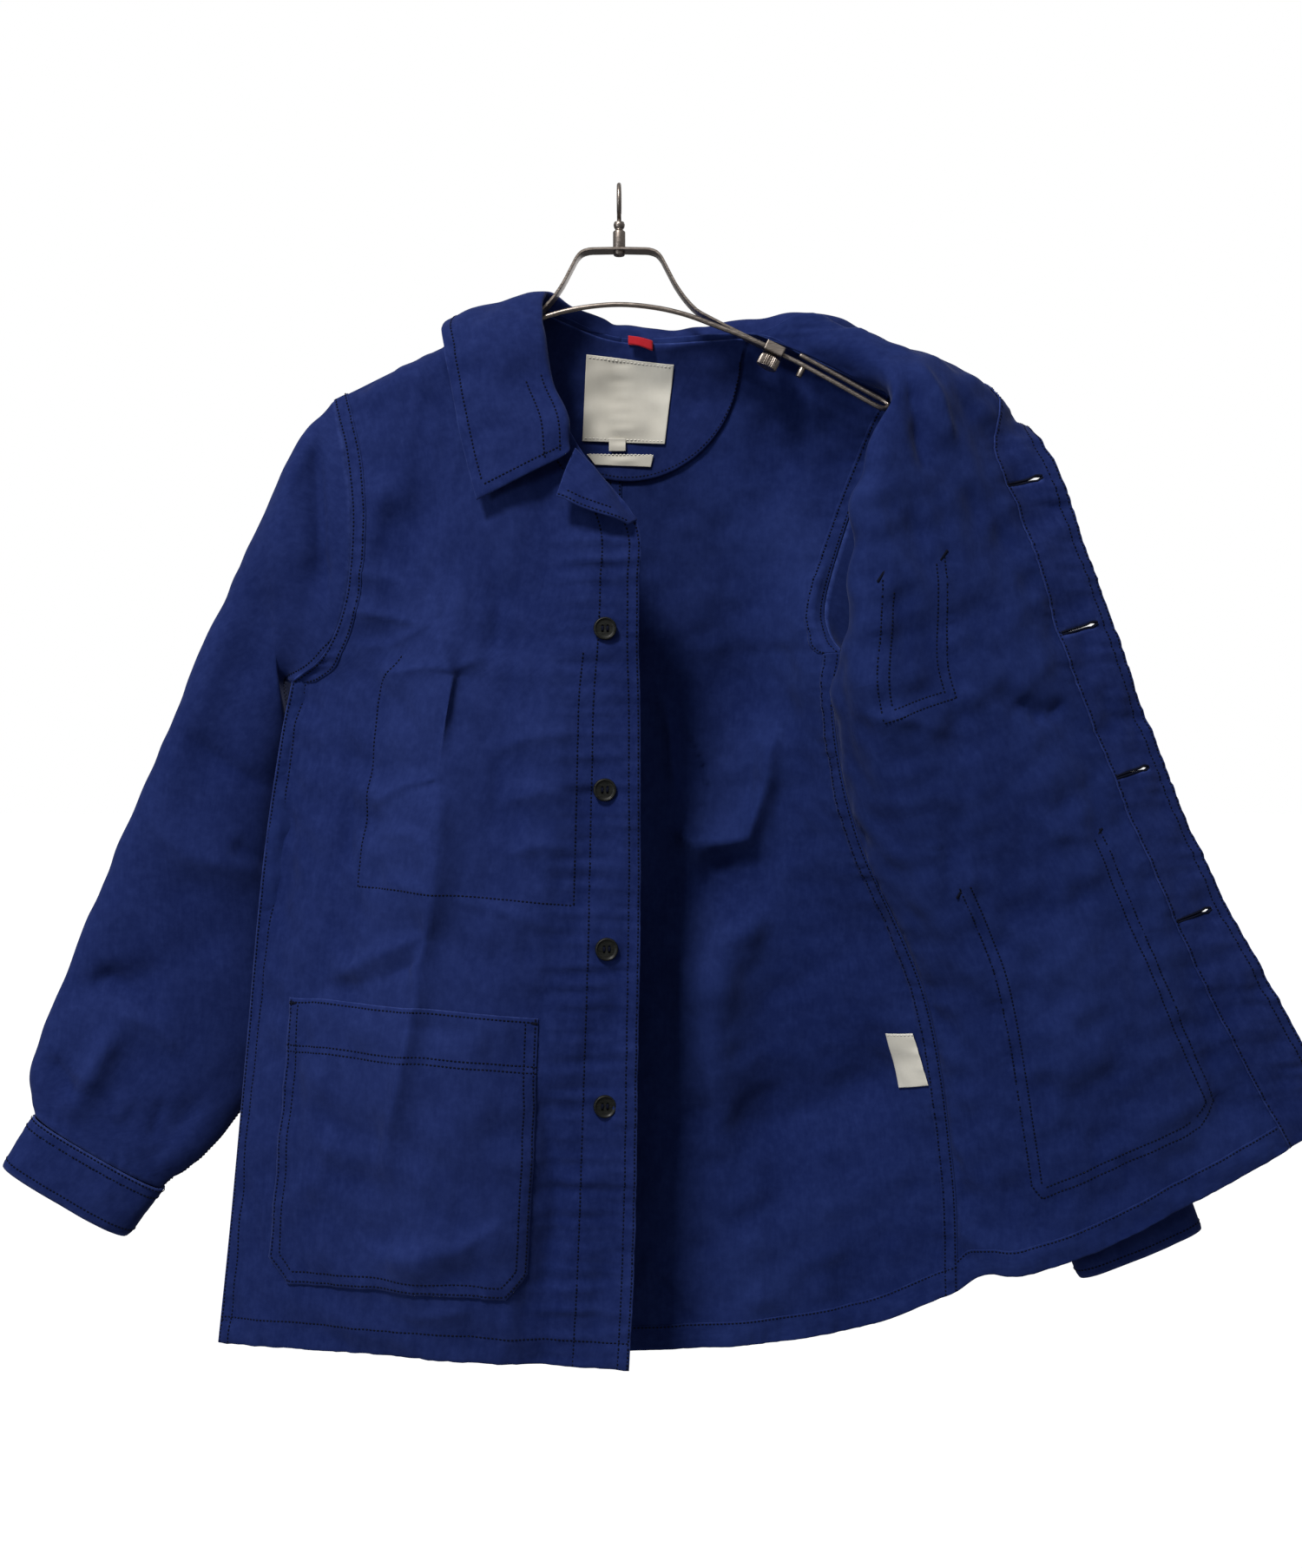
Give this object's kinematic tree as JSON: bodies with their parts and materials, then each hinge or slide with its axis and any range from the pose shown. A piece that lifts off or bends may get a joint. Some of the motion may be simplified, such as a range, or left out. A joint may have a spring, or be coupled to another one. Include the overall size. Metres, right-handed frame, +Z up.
{
  "type": "chore jacket on a hanger",
  "caption": "Navy cotton work jacket with patch pockets, turned-down collar and buttoned front, hanging open on a steel hanger with its left front flipped back.",
  "frame": {"origin": "the seat of the hanger's hook, where a rail carries it", "axes": "+Z up, +X to the wearer's left, and the fronts face -Y"},
  "size_m": [0.9353, 0.1376, 0.8189],
  "materials": {
    "moleskin": "brushed cotton moleskin, navy, matt with a soft nap",
    "moleskin_inside": "brushed cotton moleskin seen from inside, navy, matt",
    "label": "woven off-white label, bare",
    "red_tape": "narrow woven red tape",
    "horn": "polished black resin with a horn look",
    "steel": "nickel-plated steel, satin, slightly warm grey"
  },
  "bodies": {
    "root": {"front_right": "moleskin", "front_left": "moleskin", "back_right": "moleskin", "back_left": "moleskin", "sleeve_right": "moleskin", "sleeve_left": "moleskin", "cuff_right": "moleskin", "cuff_left": "moleskin", "collar": "moleskin", "lapel_right": "moleskin", "hip_pocket_right": "moleskin", "hip_pocket_left": "moleskin", "chest_pocket_left": "moleskin", "inner_pocket_right": "moleskin_inside", "facing_right": "moleskin_inside", "facing_left": "moleskin_inside", "neck_facing": "moleskin_inside", "label_main": "label", "size_tab": "label", "label_strip": "label", "care_label": "label", "hanging_loop": "red_tape", "button_1": "horn", "button_2": "horn", "button_3": "horn", "button_4": "horn", "hook": "steel", "ferrule": "steel", "neck_strap": "steel", "bow_rod": "steel", "clamp_left": "steel", "clamp_right": "steel", "thumb_screw_left": "steel", "thumb_screw_right": "steel", "arm_left": "steel", "arm_right": "steel", "pin_left": "steel", "pin_right": "steel"}
  },
  "joints": []
}
